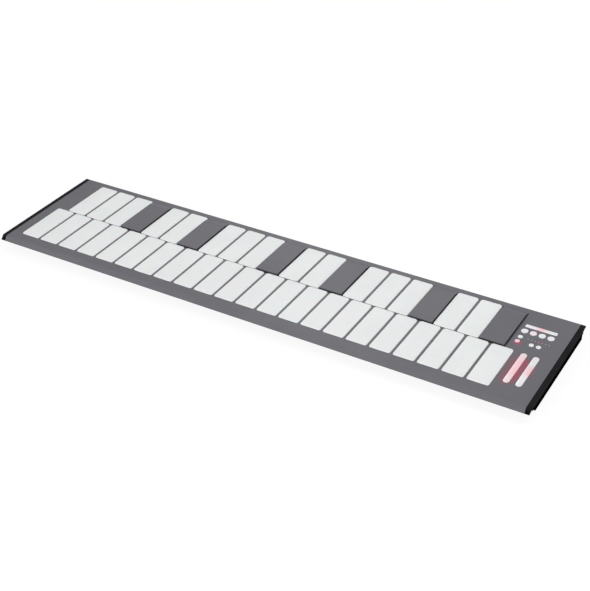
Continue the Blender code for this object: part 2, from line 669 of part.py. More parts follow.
def button_mesh(radius):
    """One button about its own axis: a cap with a bevelled rim on a wider flange."""
    height = BUTTON_TOP - BUTTON_UNDER
    cap = round_mesh("button_cap", radius, 0.0, height, BUTTON_STEPS)
    bevel_top_rim(cap, height, BUTTON_EDGE)
    flange = round_mesh("button_flange", radius + BUTTON_FLANGE, 0.0, BUTTON_FLANGE_HEIGHT, BUTTON_STEPS)
    return joined_solid("button", cap, flange)


def make_buttons(material):
    meshes = {}
    for name, column, row, radius in button_places():
        if radius not in meshes:
            meshes[radius] = button_mesh(radius)
            meshes[radius].materials.append(material)
        place_mesh(name, meshes[radius], PARTS, location=(panel_x(column), panel_y(row), BUTTON_UNDER))


def make_touch_surfaces(material):
    """Faders and strip stand on the control board and reach through the deck."""
    foot = PANEL_BOARD_TOP + SEAT_GAP
    top = DECK_TOP + TOUCH_STAND
    for name, column in zip(("left_touch_fader", "right_touch_fader"), FADER_COLUMNS):
        fader = outline_mesh(name, fader_outline(0.0), foot, top)
        place_mesh(name, fader, PARTS, material, (panel_x(column), panel_y(FADER_ROW), 0.0))
    strip = outline_mesh("touch_strip", strip_outline(0.0), foot, top)
    place_mesh("touch_strip", strip, PARTS, material, (panel_x(STRIP_COLUMN), panel_y(STRIP_ROW), 0.0))


def make_light_guide(material):
    """One clear moulding under the deck, with a pip up through the deck for each lamp."""
    foot = PANEL_BOARD_TOP + SEAT_GAP
    columns = lamp_columns()
    reach = LAMP_RADIUS + LIGHT_GUIDE_MARGIN
    bar = box_mesh("guide_bar", (panel_x(columns[-1]) - reach, panel_y(LAMP_ROW) - reach, foot),
                   (panel_x(columns[0]) + reach, panel_y(LAMP_ROW) + reach, DECK_UNDER - SEAT_GAP))
    guide = place_mesh("indicator_light_guide", bar, PARTS, material)
    pip = round_mesh("pip", LAMP_RADIUS, foot + OVERLAP, DECK_TOP + LAMP_STAND, ROUND_STEPS)
    places = [(pip, (panel_x(column), panel_y(LAMP_ROW), 0)) for column in columns]
    combine(guide, joined_mesh("pips", places), "UNION")


def main():
    silicone = make_material("white_silicone", (0.78, 0.79, 0.79), 0.55)
    deck_paint = make_material("grey_deck_paint", (0.150, 0.150, 0.162), 0.50)
    frame_plastic = make_material("black_frame_plastic", (0.020, 0.020, 0.022), 0.55)
    cap_plastic = make_material("black_cap_plastic", (0.015, 0.015, 0.017), 0.45)
    tray_paint = make_material("black_tray_paint", (0.012, 0.012, 0.013), 0.50)
    sensor_green = make_material("green_sensor_board", (0.02, 0.12, 0.05), 0.50)
    control_green = make_material("green_control_board", (0.02, 0.12, 0.05), 0.50)
    main_green = make_material("green_main_board", (0.02, 0.12, 0.05), 0.50)
    button_rubber = make_material("white_button_rubber", (0.82, 0.82, 0.83), 0.50)
    lit_plastic = make_material("lit_touch_plastic", (0.85, 0.70, 0.72), 0.40)
    clear_plastic = make_material("clear_light_guide", (0.70, 0.70, 0.70), 0.30)
    foot_rubber = make_material("black_foot_rubber", (0.02, 0.02, 0.02), 0.80)
    socket_plastic = make_material("black_socket_plastic", (0.02, 0.02, 0.02), 0.50)

    make_bars(silicone)
    make_top_deck(deck_paint)
    make_bar_frame(frame_plastic)
    make_sensor_board(sensor_green)
    make_tray(tray_paint)
    make_end_cap("left_end_cap", -1, cap_plastic)
    make_end_cap("right_end_cap", 1, cap_plastic)
    make_control_board(control_green)
    make_main_board(main_green)
    make_socket_block(socket_plastic)
    make_buttons(button_rubber)
    make_touch_surfaces(lit_plastic)
    make_light_guide(clear_plastic)
    make_feet(foot_rubber)


main()
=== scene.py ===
import json
import math

import bmesh
import bpy
from mathutils import Matrix, Vector


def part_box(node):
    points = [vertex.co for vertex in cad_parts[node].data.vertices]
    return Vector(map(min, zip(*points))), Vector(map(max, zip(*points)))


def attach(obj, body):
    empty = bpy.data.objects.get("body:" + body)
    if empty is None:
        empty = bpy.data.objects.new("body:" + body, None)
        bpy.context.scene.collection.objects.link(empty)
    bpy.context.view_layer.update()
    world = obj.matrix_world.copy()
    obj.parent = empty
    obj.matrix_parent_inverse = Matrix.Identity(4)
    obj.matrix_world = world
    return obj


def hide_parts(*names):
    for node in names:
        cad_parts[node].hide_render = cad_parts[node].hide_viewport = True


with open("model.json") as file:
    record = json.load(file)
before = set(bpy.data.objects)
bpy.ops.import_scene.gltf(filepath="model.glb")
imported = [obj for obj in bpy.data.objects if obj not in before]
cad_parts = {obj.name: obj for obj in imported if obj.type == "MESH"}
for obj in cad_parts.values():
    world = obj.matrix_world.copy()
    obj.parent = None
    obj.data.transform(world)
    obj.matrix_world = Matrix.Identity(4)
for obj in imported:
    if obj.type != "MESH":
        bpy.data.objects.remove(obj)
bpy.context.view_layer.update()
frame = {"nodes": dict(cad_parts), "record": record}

# Looks of a table-top mallet controller: silicone bars and buttons, lit touch surfaces, painted sheet deck.
mm = 0.001
nodes = frame["nodes"]
print("frame loaded:", len(nodes), "nodes")


# Helpers for modelling

# how near counts as along a way, at a height, on a face or in the same corner
near = {"way": 0.95, "height": 0.02 * mm, "face": 0.01 * mm, "merge": 0.002 * mm}


def deselectAll():
    if bpy.context.object is not None and bpy.context.object.mode != "OBJECT":
        bpy.ops.object.mode_set(mode="OBJECT")
    bpy.ops.object.select_all(action="DESELECT")


def makeActive(piece):
    deselectAll()
    piece.select_set(True)
    bpy.context.view_layer.objects.active = piece


def startEdit(piece):
    makeActive(piece)
    bpy.ops.object.mode_set(mode="EDIT")


def endEdit():
    bpy.ops.object.mode_set(mode="OBJECT")


def settle():
    # puts the active piece's place, turn and size into its mesh
    bpy.ops.object.transform_apply(location=True, rotation=True, scale=True)


def addBlock(name, low, high):
    deselectAll()
    low, high = Vector(low), Vector(high)
    bpy.ops.mesh.primitive_cube_add(size=1.0, location=(low + high) / 2, scale=high - low)
    block = bpy.context.active_object
    block.name = block.data.name = name
    settle()
    return block


def addRound(name, centre, radius, low, high, steps, turn=(0.0, 0.0, 0.0)):
    deselectAll()
    bpy.ops.mesh.primitive_cylinder_add(vertices=steps, radius=radius, depth=high - low,
                                        location=(0.0, 0.0, (low + high) / 2))
    settle()
    item = bpy.context.active_object
    item.name = item.data.name = name
    item.rotation_euler = turn
    item.location = centre
    settle()
    return item


def pick(piece, kind, test):
    # in edit mode, selects the faces or edges that pass the test
    bpy.ops.mesh.select_mode(type=kind)
    bpy.ops.mesh.select_all(action="DESELECT")
    shape = bmesh.from_edit_mesh(piece.data)
    shape.normal_update()
    for item in {"EDGE": shape.edges, "FACE": shape.faces}[kind]:
        if test(item):
            item.select_set(True)
    shape.select_flush_mode()
    bmesh.update_edit_mesh(piece.data)


def facesTo(x=0.0, y=0.0, z=0.0):
    way = Vector((x, y, z))
    return lambda face: face.normal.dot(way) > near["way"]


def runsAlong(axis):
    def test(edge):
        run = edge.verts[0].co - edge.verts[1].co
        return abs(run[axis]) > near["way"] * run.length
    return test


def atHeight(height):
    return lambda edge: all(abs(corner.co.z - height) < near["height"] for corner in edge.verts)


def bevelEdges(piece, test, width, steps):
    pick(piece, "EDGE", test)
    bpy.ops.mesh.bevel(offset=width, offset_type="OFFSET", segments=steps, profile=0.5, affect="EDGES",
                       clamp_overlap=True)


def sliceAt(axis, level):
    # a new line of edges all round the piece, square to an axis
    place, way = Vector(), Vector()
    place[axis], way[axis] = level, 1.0
    bpy.ops.mesh.select_all(action="SELECT")
    bpy.ops.mesh.bisect(plane_co=place, plane_no=way)


def mergeDoubles():
    bpy.ops.mesh.select_all(action="SELECT")
    bpy.ops.mesh.remove_doubles(threshold=near["merge"])


def roundOff(piece, corner, cornerSteps, rim, rimSteps, top):
    # rounds the upright corners and then the top rim
    startEdit(piece)
    bevelEdges(piece, runsAlong(2), corner, cornerSteps)
    mergeDoubles()
    bevelEdges(piece, atHeight(top), rim, rimSteps)
    mergeDoubles()
    endEdit()


def smoothByAngle(piece, degrees=35.0):
    makeActive(piece)
    bpy.ops.object.shade_smooth_by_angle(angle=math.radians(degrees))


def copyTo(piece, name, offset):
    twin = piece.copy()
    twin.data = piece.data.copy()
    twin.name = twin.data.name = name
    twin.data.transform(Matrix.Translation(offset))
    bpy.context.scene.collection.objects.link(twin)
    return twin


def joinAll(name, pieces):
    deselectAll()
    for piece in pieces:
        piece.select_set(True)
    bpy.context.view_layer.objects.active = pieces[0]
    bpy.ops.object.join()
    whole = bpy.context.active_object
    whole.name = whole.data.name = name
    return whole


def finishPiece(piece, material, body, replaced=()):
    piece.data.materials.clear()
    piece.data.materials.append(material)
    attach(piece, body)
    if replaced:
        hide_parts(*replaced)


# Helpers for materials

def toLinear(hexColour):
    parts = [int(hexColour[i:i + 2], 16) / 255 for i in (1, 3, 5)]
    return tuple(p / 12.92 if p <= 0.04045 else ((p + 0.055) / 1.055) ** 2.4 for p in parts) + (1.0,)


def addNode(tree, kind, settings=None, links=None):
    node = tree.nodes.new(kind)
    for name, value in (settings or {}).items():
        if isinstance(name, str) and hasattr(node, name):
            setattr(node, name, value)
        else:
            node.inputs[name].default_value = value
    for name, source in (links or {}).items():
        tree.links.new(source, node.inputs[name])
    return node


def compute(tree, operation, first, second=None):
    # one step of arithmetic on a socket; the second value is a number, a socket or not needed
    isNumber = isinstance(second, float)
    step = addNode(tree, "ShaderNodeMath", {"operation": operation, **({1: second} if isNumber else {})},
                   {0: first, **({} if isNumber or second is None else {1: second})})
    return step.outputs[0]


def mapRange(tree, value, start, end, toStart=0.0, toEnd=1.0, kind="LINEAR"):
    mapped = addNode(tree, "ShaderNodeMapRange",
                     {"interpolation_type": kind, "From Min": start, "From Max": end,
                      "To Min": toStart, "To Max": toEnd}, {"Value": value})
    return mapped.outputs["Result"]


def splitUp(tree, vector):
    return addNode(tree, "ShaderNodeSeparateXYZ", links={0: vector}).outputs


def startMaterial(name, roughness, metallic=0.0, settings=None):
    material = bpy.data.materials.new(name)
    material.use_nodes = True
    tree = material.node_tree
    shader = tree.nodes["Principled BSDF"]
    shader.inputs["Roughness"].default_value = roughness
    shader.inputs["Metallic"].default_value = metallic
    for socket, value in (settings or {}).items():
        shader.inputs[socket].default_value = value
    place = addNode(tree, "ShaderNodeTexCoord").outputs["Object"]
    return material, tree, shader, place


def twoTones(tree, source, edges, dark, light):
    # dark up to the first edge, light from the second on
    tones = addNode(tree, "ShaderNodeValToRGB", links={"Fac": source})
    for element, edge, tone in zip(tones.color_ramp.elements, edges, (dark, light)):
        element.position = edge
        element.color = toLinear(tone)
    return tones.outputs["Color"]


def mixTones(tree, share, first, second):
    # from the first tone, a colour or a socket, to the second colour
    isColour = isinstance(first, str)
    mixed = addNode(tree, "ShaderNodeMix",
                    {"data_type": "RGBA", 7: toLinear(second), **({6: toLinear(first)} if isColour else {})},
                    {0: share, **({} if isColour else {6: first})})
    return mixed.outputs[2]


patternLook = {"toneDetail": 2.0, "toneEdges": (0.35, 0.65), "grainDetail": 3.0}


def noiseOf(tree, place, size, detail):
    noise = addNode(tree, "ShaderNodeTexNoise", {"Scale": 1.0 / size, "Detail": detail}, {"Vector": place})
    return noise.outputs["Fac"]


def mottle(tree, place, size, dark, light):
    # two close tones in patches of about the given size
    look = patternLook
    return twoTones(tree, noiseOf(tree, place, size, look["toneDetail"]), look["toneEdges"], dark, light)


def bumpBy(tree, shader, height, depth):
    bump = addNode(tree, "ShaderNodeBump", {"Strength": 1.0, "Distance": depth}, {"Height": height})
    tree.links.new(bump.outputs["Normal"], shader.inputs["Normal"])


def grain(tree, place, shader, size, depth):
    # bump whose grains are about the given size
    bumpBy(tree, shader, noiseOf(tree, place, size, patternLook["grainDetail"]), depth)


def distanceTo(tree, place, middle, halfRun=0.0, radius=0.0):
    # flat distance from a spot, or from a pill that runs along Y
    offset = addNode(tree, "ShaderNodeVectorMath", {"operation": "SUBTRACT", 1: (*middle, 0.0)}, {0: place})
    parts = splitUp(tree, offset.outputs[0])
    held = addNode(tree, "ShaderNodeClamp", {"Min": -halfRun, "Max": halfRun}, {"Value": parts["Y"]})
    along = compute(tree, "SUBTRACT", parts["Y"], held.outputs["Result"])
    flat = addNode(tree, "ShaderNodeCombineXYZ", links={"X": parts["X"], "Y": along})
    length = addNode(tree, "ShaderNodeVectorMath", {"operation": "LENGTH"}, {0: flat.outputs[0]})
    return compute(tree, "SUBTRACT", length.outputs["Value"], radius)


def fadeOut(tree, distance, reach, strength=1.0):
    # full strength at the light, nothing at its reach
    return mapRange(tree, distance, 0.0, reach, strength, 0.0, "SMOOTHERSTEP")


def addUp(tree, values):
    total = values[0]
    for value in values[1:]:
        total = compute(tree, "ADD", total, value)
    return total


def addUpToOne(tree, values):
    return compute(tree, "MINIMUM", addUp(tree, values), 1.0)


def lightUp(tree, shader, glow, colour, strength):
    # where the glow is 1, the surface sends out light of this colour and strength
    shader.inputs["Emission Color"].default_value = toLinear(colour)
    tree.links.new(compute(tree, "MULTIPLY", glow, strength), shader.inputs["Emission Strength"])


# Where the lights behind the panel are on, read from the frame

def middleOf(node):
    low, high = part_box(node)
    return (low + high) / 2


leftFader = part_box("left_touch_fader")
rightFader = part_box("right_touch_fader")
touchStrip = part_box("touch_strip")
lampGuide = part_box("indicator_light_guide")
lamps = {"count": 7, "pitch": 6.0 * mm, "radius": 1.2 * mm, "lit": (3, 4),
         "spill": 6.0 * mm, "spillShare": 0.35}
lampMiddle = (lampGuide[0] + lampGuide[1]) / 2
lampSpots = [(lampMiddle.x + (i - (lamps["count"] - 1) / 2) * lamps["pitch"], lampMiddle.y)
             for i in range(lamps["count"])]
faderWidth = leftFader[1].x - leftFader[0].x
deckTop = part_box("right_end_cap")[1].z
spots = {
    "leftFader": middleOf("left_touch_fader"),
    "rightFader": middleOf("right_touch_fader"),
    "modeButton": middleOf("mode_button_lower"),
    "secondPreset": middleOf("preset_button_2"),
    "strip": middleOf("touch_strip"),
}


# Materials, each named for the real one and how its surface was made

siliconeLook = {
    "white": ("#E1E3E3", "#E4E6E6"), "faintPink": ("#E5DADF", "#E7DCE1"), "pink": ("#E5C8D3", "#E7CBD5"),
    # wall is the painted shade at the foot of the bars' end walls
    "wall": "#6E6E72", "wallReach": 1.0 * mm, "wallEnd": 0.15 * mm, "wallRim": 1.1 * mm,
    "roughness": 0.7, "gloss": 0.06, "index": 1.41, "creep": 0.12, "creepReach": 2.0 * mm,
    "patch": 60.0 * mm,
    "grain": 1.2 * mm,      # the mould's spark finish is near 0.05 mm, drawn coarser so that it shows
    "grainDepth": 0.03 * mm,
    "glowReach": 9.0 * mm,
}


def endWallShadeShare(tree, place, rows):
    # share of the painted shade: 1 at the bottom of the bars' end walls, 0 at the top of the rim and from the
    # rim's rounding inward
    parts = splitUp(tree, place)
    top = rows[0][1].z
    low = mapRange(tree, parts["Z"], top - siliconeLook["wallEnd"], top - siliconeLook["wallReach"])
    reaches = [compute(tree, "ABSOLUTE", compute(tree, "SUBTRACT", parts["Y"], (rowLow.y + rowHigh.y) / 2))
               for rowLow, rowHigh in rows]
    half = (rows[0][1].y - rows[0][0].y) / 2
    end = mapRange(tree, compute(tree, "MINIMUM", *reaches), half - siliconeLook["wallRim"], half)
    return compute(tree, "MULTIPLY", low, end)


def makeSilicone(name, tones, light=None, rows=None):
    # moulded silicone rubber: satin, a faint cloudy tone, light creeps a little way in
    look = siliconeLook
    material, tree, shader, place = startMaterial(name, look["roughness"], settings={
        "IOR": look["index"], "Subsurface Weight": look["creep"], "Subsurface Scale": look["creepReach"],
        "Specular IOR Level": look["gloss"]})
    tone = mottle(tree, place, look["patch"], *look[tones])
    if rows:
        # painted shade: the end walls darken towards their foot, where the gaps are in shade, and clear
        # towards the rim
        tone = mixTones(tree, endWallShadeShare(tree, place, rows), tone, look["wall"])
    tree.links.new(tone, shader.inputs["Base Color"])
    grain(tree, place, shader, look["grain"], look["grainDepth"])
    if light:
        spot, colour, strength = light
        away = distanceTo(tree, place, (spots[spot].x, spots[spot].y))
        lightUp(tree, shader, fadeOut(tree, away, look["glowReach"]), colour, strength)
    return material


barSilicone = makeSilicone("moulded_silicone_bar", "white",
                           rows=[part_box("natural_bar_01"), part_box("sharp_bar_01")])
buttonSilicone = makeSilicone("moulded_silicone_button", "white")
presetSilicone = makeSilicone("moulded_silicone_button_faintly_lit", "faintPink",
                              ("secondPreset", "#F0507A", 0.04))
modeSilicone = makeSilicone("moulded_silicone_button_lit", "pink", ("modeButton", "#FF2C80", 0.09))

deckLook = {
    "dark": "#605F65", "light": "#646368", "patch": 90.0 * mm, "peel": 0.9 * mm, "peelDepth": 0.02 * mm,
    "roughness": 0.5, "gloss": 0.14, "lit": "#86505C", "glow": "#F0204A", "glowStrength": 0.045,
    "spills": [
        {"spot": "leftFader", "shift": (0.0, -6.4 * mm), "halfRun": 24.0 * mm, "radius": 3.0 * mm,
         "reach": 22.0 * mm, "share": 0.54},
        {"spot": "leftFader", "shift": (9.0 * mm, 0.0), "halfRun": 18.0 * mm, "radius": 0.0,
         "reach": 22.0 * mm, "share": 0.58},
        {"spot": "rightFader", "shift": (0.4 * faderWidth, 2.0 * mm), "halfRun": 11.0 * mm, "radius": 0.0,
         "reach": 11.0 * mm, "share": 0.40},
        {"spot": "modeButton", "shift": (2.0 * mm, -3.0 * mm), "halfRun": 0.0, "radius": 2.5 * mm,
         "reach": 9.0 * mm, "share": 0.85},
    ],
}


def makeDeckPaint():
    # aluminium sheet with a matt powder coat: fine orange peel and a slight drift in tone
    look = deckLook
    material, tree, shader, place = startMaterial("powder_coated_aluminium_deck", look["roughness"],
                                                  settings={"Specular IOR Level": look["gloss"]})
    tone = mottle(tree, place, look["patch"], look["dark"], look["light"])
    grain(tree, place, shader, look["peel"], look["peelDepth"])
    # light that spills from the touch surfaces and lamps tints the paint beside them
    glows = []
    for spill in look["spills"]:
        spot, shift = spots[spill["spot"]], spill["shift"]
        middle = (spot.x + shift[0], spot.y + shift[1])
        away = distanceTo(tree, place, middle, spill["halfRun"], spill["radius"])
        glows.append(fadeOut(tree, away, spill["reach"], spill["share"]))
    for index in lamps["lit"]:
        away = distanceTo(tree, place, lampSpots[index])
        glows.append(fadeOut(tree, away, lamps["spill"], lamps["spillShare"]))
    glow = addUpToOne(tree, glows)
    tree.links.new(mixTones(tree, glow, tone, look["lit"]), shader.inputs["Base Color"])
    lightUp(tree, shader, glow, look["glow"], look["glowStrength"])
    return material


deckPaint = makeDeckPaint()

capLook = {
    # side is the painted shade on the cap's side
    "dark": "#19191B", "light": "#1F1F21", "side": "#050506", "gloss": 0.05, "roughness": 0.85,
    "rimReach": 0.5 * mm, "sideReach": 8.0 * mm,
    "patch": 25.0 * mm, "grain": 0.7 * mm, "grainDepth": 0.03 * mm,
}


def makeCapPlastic():
    # moulded ABS with a fine matt texture, paler on top and along the rim; painted shade makes the side deep
    # black below the rim
    look = capLook
    material, tree, shader, place = startMaterial("moulded_black_abs_end_cap", look["roughness"])
    rim = mottle(tree, place, look["patch"], look["dark"], look["light"])
    # share of the painted shade: none at the rim, full from sideReach below the deck top; the side loses its
    # gloss with it
    sideShade = mapRange(tree, splitUp(tree, place)["Z"], deckTop - look["rimReach"], deckTop - look["sideReach"])
    tree.links.new(mixTones(tree, sideShade, rim, look["side"]), shader.inputs["Base Color"])
    tree.links.new(mapRange(tree, sideShade, 0.0, 1.0, look["gloss"], 0.0), shader.inputs["Specular IOR Level"])
    grain(tree, place, shader, look["grain"], look["grainDepth"])
    return material


capAbs = makeCapPlastic()

plainLooks = {
    # moulded ABS with a matt texture
    "moulded_black_abs_frame": {"tones": ("#2A2A2E", "#303034"), "patch": 20.0 * mm, "roughness": 0.58,
                                "grain": 0.8 * mm, "grainDepth": 0.03 * mm},
    # folded steel under a satin black powder coat
    "powder_coated_steel_tray": {"tones": ("#151517", "#1B1B1D"), "patch": 60.0 * mm, "roughness": 0.6,
                                 "grain": 0.9 * mm, "grainDepth": 0.03 * mm,
                                 "settings": {"Specular IOR Level": 0.25}},
    # moulded engineering plastic, smoother than the case
    "moulded_black_socket_body": {"tones": ("#101012", "#161618"), "patch": 6.0 * mm, "roughness": 0.4,
                                  "grain": 0.5 * mm, "grainDepth": 0.01 * mm},
    # extruded rubber: dull, with dust in its pores
    "extruded_black_rubber_foot": {"tones": ("#1A1A1A", "#262625"), "patch": 8.0 * mm, "roughness": 0.8,
                                   "grain": 0.5 * mm, "grainDepth": 0.05 * mm},
    # nickel plate on pressed brass
    "nickel_plated_contact": {"tones": ("#B9B5AC", "#C9C6BE"), "patch": 5.0 * mm, "roughness": 0.28,
                              "grain": 0.4 * mm, "grainDepth": 0.01 * mm, "metallic": 1.0},
    # black oxide on steel screws
    "black_oxide_screw": {"tones": ("#2A2A2C", "#39393B"), "patch": 3.0 * mm, "roughness": 0.4,
                          "grain": 0.3 * mm, "grainDepth": 0.01 * mm, "metallic": 1.0},
}


def makePlain(name):
    # a moulded, painted or plated surface with close tones and a fine grain
    look = plainLooks[name]
    material, tree, shader, place = startMaterial(name, look["roughness"], look.get("metallic", 0.0),
                                                  look.get("settings"))
    tree.links.new(mottle(tree, place, look["patch"], *look["tones"]), shader.inputs["Base Color"])
    grain(tree, place, shader, look["grain"], look["grainDepth"])
    return material


frameAbs = makePlain("moulded_black_abs_frame")
trayPaint = makePlain("powder_coated_steel_tray")
socketAbs = makePlain("moulded_black_socket_body")
footRubber = makePlain("extruded_black_rubber_foot")
socketNickel = makePlain("nickel_plated_contact")
screwSteel = makePlain("black_oxide_screw")

boardLook = {
    "dark": "#0E3B22", "light": "#17532F", "edges": (0.45, 0.55), "roughness": 0.32,
    "wander": 2.0, "detail": 1.0, "copper": 0.035 * mm,
    "bandRun": 0.31,        # how wide one band of the pattern is at scale 1
}


def makeBoard(name, trackPitch):
    # glass-epoxy board under green solder mask: copper tracks stand out a little in tone and height
    look = boardLook
    material, tree, shader, place = startMaterial(name, look["roughness"])
    bands = addNode(tree, "ShaderNodeTexWave",
                    {"wave_type": "BANDS", "bands_direction": "X", "Scale": look["bandRun"] / trackPitch,
                     "Distortion": look["wander"], "Detail": look["detail"]}, {"Vector": place})
    tone = twoTones(tree, bands.outputs["Fac"], look["edges"], look["dark"], look["light"])
    tree.links.new(tone, shader.inputs["Base Color"])
    bumpBy(tree, shader, bands.outputs["Fac"], look["copper"])
    return material


sensorMask = makeBoard("solder_masked_sensor_board", 6.0 * mm)
panelMask = makeBoard("solder_masked_control_board", 2.0 * mm)
mainMask = makeBoard("solder_masked_main_board", 1.5 * mm)

diffuserLook = {"roughness": 0.3, "gloss": 0.4, "index": 1.49, "creep": 0.15, "creepReach": 1.5 * mm,
                "grain": 0.8 * mm, "grainDepth": 0.01 * mm, "glow": "#F04868", "glowStrength": 0.05}


def makeDiffuser(name, plain, lit, middle, halfRun, reach):
    # opal acrylic over lamps: pale and glossy, warm pink where a lamp behind it is on
    look = diffuserLook
    material, tree, shader, place = startMaterial(name, look["roughness"], settings={
        "IOR": look["index"], "Subsurface Weight": look["creep"], "Subsurface Scale": look["creepReach"],
        "Specular IOR Level": look["gloss"]})
    glow = fadeOut(tree, distanceTo(tree, place, middle, halfRun), reach)
    tree.links.new(mixTones(tree, glow, plain, lit), shader.inputs["Base Color"])
    grain(tree, place, shader, look["grain"], look["grainDepth"])
    lightUp(tree, shader, glow, look["glow"], look["glowStrength"])
    return material


leftDiffuser = makeDiffuser("opal_acrylic_left_fader", plain="#E5D3D6", lit="#E8C4C9",
                            middle=(spots["leftFader"].x + 4.0 * mm, spots["leftFader"].y + 3.0 * mm),
                            halfRun=14.0 * mm, reach=24.0 * mm)
rightDiffuser = makeDiffuser("opal_acrylic_right_fader", plain="#E0DEE1", lit="#E7C0C5",
                             middle=(rightFader[1].x, spots["rightFader"].y + 1.0 * mm),
                             halfRun=5.0 * mm, reach=17.0 * mm)
litAlongStrip = 0.49
stripDiffuser = makeDiffuser("opal_acrylic_touch_strip", plain="#E2E1E4", lit="#EAC6CD",
                             middle=(touchStrip[0].x + litAlongStrip * (touchStrip[1].x - touchStrip[0].x),
                                     spots["strip"].y),
                             halfRun=2.0 * mm, reach=15.0 * mm)

lampLook = {"plain": "#A3A1A6", "lit": "#B08088", "reach": 2.5 * mm, "glow": "#FF2850", "glowStrength": 0.10,
            "roughness": 0.35, "index": 1.58, "grain": 0.4 * mm, "grainDepth": 0.01 * mm}


def makeLampPlastic():
    # frosted polycarbonate light guide: grey where unlit, red over the two lamps that are on
    look = lampLook
    material, tree, shader, place = startMaterial("frosted_polycarbonate_lamps", look["roughness"], settings={
        "IOR": look["index"]})
    glow = addUp(tree, [fadeOut(tree, distanceTo(tree, place, lampSpots[index]), look["reach"])
                        for index in lamps["lit"]])
    tree.links.new(mixTones(tree, glow, look["plain"], look["lit"]), shader.inputs["Base Color"])
    grain(tree, place, shader, look["grain"], look["grainDepth"])
    lightUp(tree, shader, glow, look["glow"], look["glowStrength"])
    return material


lampPlastic = makeLampPlastic()
print("materials made")


# Silicone bars: one modelled, 37 placed

barLook = {"corner": 5.0 * mm, "cornerSteps": 8, "rim": 1.1 * mm, "rimSteps": 5,
           "flange": 1.0 * mm, "flangeReach": 1.35 * mm, "flangeEnd": 8.0 * mm}


def modelBar():
    low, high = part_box("natural_bar_01")
    reach = barLook["flangeReach"]
    low = Vector((low.x + reach, low.y, low.z))
    high = Vector((high.x - reach, high.y, high.z))
    bar = addBlock("bar_master", low, high)
    roundOff(bar, barLook["corner"], barLook["cornerSteps"], barLook["rim"], barLook["rimSteps"], high.z)
    startEdit(bar)
    # a skirt line splits off the lower part, whose long sides are drawn out as the gripping flange
    level = low.z + barLook["flange"]
    sliceAt(2, level)
    for end in (low.y + barLook["flangeEnd"], high.y - barLook["flangeEnd"]):
        sliceAt(1, end)
    middle = (low + high) / 2
    halfRun = (high.y - low.y) / 2 - barLook["flangeEnd"]
    for side in (-1, 1):
        isFlange = facesTo(x=side)
        pick(bar, "FACE", lambda face: isFlange(face) and face.calc_center_median().z < level
             and abs(face.calc_center_median().y - middle.y) < halfRun)
        bpy.ops.mesh.extrude_region_move(TRANSFORM_OT_translate={"value": (side * reach, 0.0, 0.0)})
    mergeDoubles()
    endEdit()
    smoothByAngle(bar)
    return bar, Vector((middle.x, middle.y, low.z))


def placeBars():
    master, home = modelBar()
    names = [name for name in nodes if name.startswith(("natural_bar_", "sharp_bar_"))]
    for name in sorted(names):
        low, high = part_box(name)
        place = Vector(((low.x + high.x) / 2, (low.y + high.y) / 2, low.z))
        bar = copyTo(master, name.replace("_bar_", "_silicone_"), place - home)
        finishPiece(bar, barSilicone, name, [name])
    bpy.data.objects.remove(master)
    print("bars placed:", len(names))


placeBars()


# Buttons: a soft dished cap on a flange, one model for each

buttonLook = {"steps": 48, "rim": 0.7 * mm, "rimSteps": 4, "dish": 0.12 * mm, "dishInset": 1.0 * mm,
              "flange": 1.2 * mm, "flangeHeight": 0.8 * mm, "wallTilt": 0.1}


def modelButton(name):
    low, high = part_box(name)
    middle = (low + high) / 2
    radius = (high.x - low.x) / 2 - buttonLook["flange"]
    button = addRound(name + "_cap", (middle.x, middle.y, 0.0), radius, low.z, high.z, buttonLook["steps"])
    startEdit(button)
    bevelEdges(button, atHeight(high.z), buttonLook["rim"], buttonLook["rimSteps"])
    isTop = facesTo(z=1)
    pick(button, "FACE", lambda face: isTop(face) and face.calc_center_median().z > high.z - near["face"])
    bpy.ops.mesh.inset(thickness=buttonLook["dishInset"], depth=-buttonLook["dish"])
    level = low.z + buttonLook["flangeHeight"]
    sliceAt(2, level)
    pick(button, "FACE", lambda face: abs(face.normal.z) < buttonLook["wallTilt"]
         and face.calc_center_median().z < level)
    bpy.ops.mesh.extrude_region_shrink_fatten(TRANSFORM_OT_shrink_fatten={"value": buttonLook["flange"]})
    mergeDoubles()
    endEdit()
    smoothByAngle(button)
    return button


def placeButtons():
    names = [name for name in nodes if "_button_" in name]
    litFinishes = {"preset_button_2": presetSilicone, "mode_button_lower": modeSilicone}
    for name in sorted(names):
        button = modelButton(name)
        finishPiece(button, litFinishes.get(name, buttonSilicone), name, [name])
    print("buttons placed:", len(names))


placeButtons()


# Touch faders, touch strip and lamps

touchLook = {"rim": 0.4 * mm, "rimSteps": 3, "endGap": 0.01 * mm, "endSteps": 16,
             "stripCorner": 1.5 * mm, "stripSteps": 6}


def placeTouch(name, corner, steps, material):
    low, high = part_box(name)
    slab = addBlock(name + "_diffuser", low, high)
    roundOff(slab, corner, steps, touchLook["rim"], touchLook["rimSteps"], high.z)
    smoothByAngle(slab)
    finishPiece(slab, material, "chassis", [name])


faderCorner = faderWidth / 2 - touchLook["endGap"]
placeTouch("left_touch_fader", faderCorner, touchLook["endSteps"], leftDiffuser)
placeTouch("right_touch_fader", faderCorner, touchLook["endSteps"], rightDiffuser)
placeTouch("touch_strip", touchLook["stripCorner"], touchLook["stripSteps"], stripDiffuser)

guideLook = {"underDeck": 2.0 * mm, "corner": 1.5 * mm, "cornerSteps": 5, "rim": 0.2 * mm, "rimSteps": 2,
             "lensRoot": 0.3 * mm, "lensSteps": 24, "lensRim": 0.6 * mm, "lensRimSteps": 3}


